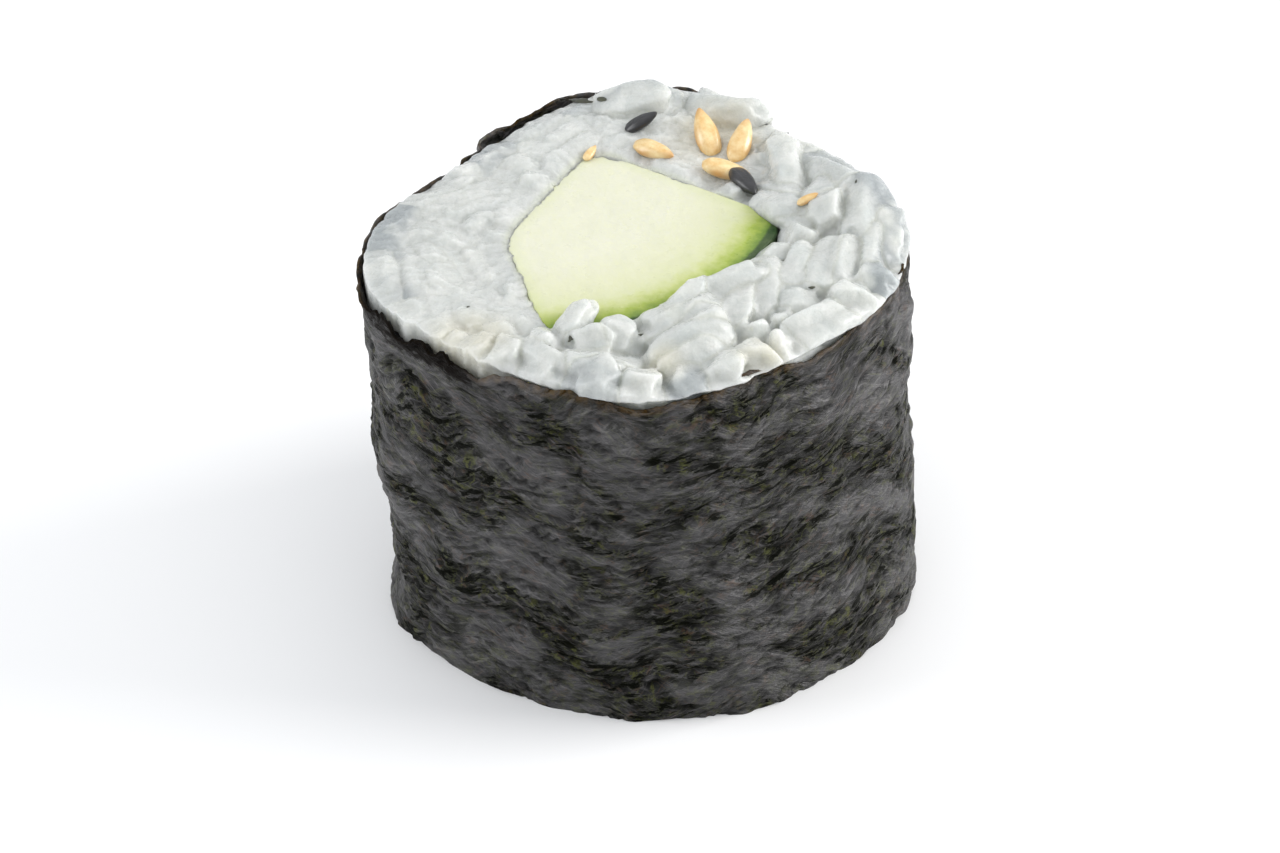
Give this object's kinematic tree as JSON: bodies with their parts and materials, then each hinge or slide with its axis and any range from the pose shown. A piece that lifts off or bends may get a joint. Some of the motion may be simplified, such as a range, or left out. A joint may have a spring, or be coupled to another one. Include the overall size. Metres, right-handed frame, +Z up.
{
  "type": "cucumber maki roll",
  "caption": "Upright cut piece of a thin sushi roll: a nori sheet wound round pressed rice, with a wedge of cucumber running through it.",
  "frame": {"origin": "middle of the foot's bounding box, on the surface the piece stands on", "axes": "+Z up along the roll's axis; -Y is the front, where the cucumber's skin side and the loosest rice are; the sheet's lap is at the back"},
  "size_m": [0.03, 0.0286, 0.0233],
  "materials": {
    "nori": "dark seaweed sheet, finely wrinkled, half gloss",
    "rice": "moist cooked rice, slightly translucent",
    "cucumber": "moist pale flesh with a dark green skin on its arched side"
  },
  "bodies": {
    "root": {"nori": "nori", "rice": "rice", "cucumber": "cucumber"}
  },
  "joints": []
}
